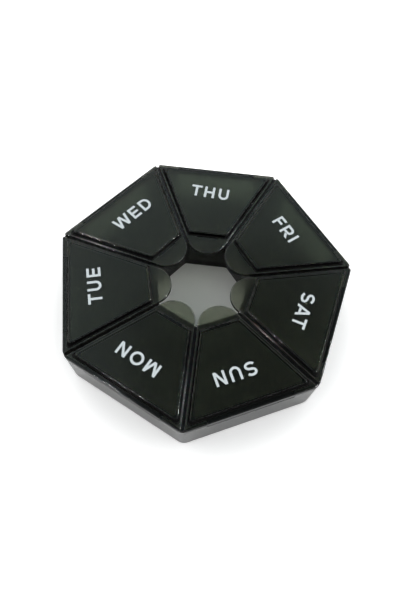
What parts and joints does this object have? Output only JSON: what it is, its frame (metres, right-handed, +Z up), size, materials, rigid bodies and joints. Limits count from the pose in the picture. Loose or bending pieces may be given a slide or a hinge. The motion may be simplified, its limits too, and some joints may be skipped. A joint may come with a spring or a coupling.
{
  "type": "weekly pill box",
  "caption": "Low seven-sided ring box with a compartment for each day round a finger hole; every compartment has a smoky lid hinged at the outer edge, with a raised panel and a round lip.",
  "frame": {"origin": "on the ring's axis, in the plane of the underside that it rests on", "axes": "+Z is up along the ring's axis, and the Thursday lid faces +Y; seen from above, the days run clockwise"},
  "size_m": [0.1066, 0.1042, 0.0215],
  "materials": {
    "tray_plastic": "polished, nearly black moulding with a faint green cast",
    "lid_plastic": "polished, clear smoke-grey plastic with a faint green cast",
    "day_print": "thin off-white pad print"
  },
  "bodies": {
    "tray": {"base_tray": "tray_plastic"},
    "mon_lid": {"lid_mon": "lid_plastic"},
    "tue_lid": {"lid_tue": "lid_plastic"},
    "wed_lid": {"lid_wed": "lid_plastic"},
    "thu_lid": {"lid_thu": "lid_plastic"},
    "fri_lid": {"lid_fri": "lid_plastic"},
    "sat_lid": {"lid_sat": "lid_plastic"},
    "sun_lid": {"lid_sun": "lid_plastic"}
  },
  "joints": [
    {"name": "mon_lid_hinge", "type": "hinge", "parent": "tray", "child": "mon_lid", "pos_m": [-0.02111, -0.04383, 0.01765], "axis": [0.901, -0.4339, 0], "range_deg": [0, 100]},
    {"name": "tue_lid_hinge", "type": "hinge", "parent": "tray", "child": "tue_lid", "pos_m": [-0.04743, -0.01083, 0.01765], "axis": [0.2225, -0.9749, 0], "range_deg": [0, 100]},
    {"name": "wed_lid_hinge", "type": "hinge", "parent": "tray", "child": "wed_lid", "pos_m": [-0.03804, 0.03033, 0.01765], "axis": [-0.6235, -0.7818, 0], "range_deg": [0, 100]},
    {"name": "thu_lid_hinge", "type": "hinge", "parent": "tray", "child": "thu_lid", "pos_m": [0, 0.04865, 0.01765], "axis": [-1, 0, 0], "range_deg": [0, 100]},
    {"name": "fri_lid_hinge", "type": "hinge", "parent": "tray", "child": "fri_lid", "pos_m": [0.03804, 0.03033, 0.01765], "axis": [-0.6235, 0.7818, 0], "range_deg": [0, 100]},
    {"name": "sat_lid_hinge", "type": "hinge", "parent": "tray", "child": "sat_lid", "pos_m": [0.04743, -0.01083, 0.01765], "axis": [0.2225, 0.9749, 0], "range_deg": [0, 100]},
    {"name": "sun_lid_hinge", "type": "hinge", "parent": "tray", "child": "sun_lid", "pos_m": [0.02111, -0.04383, 0.01765], "axis": [0.901, 0.4339, 0], "range_deg": [0, 100]}
  ]
}
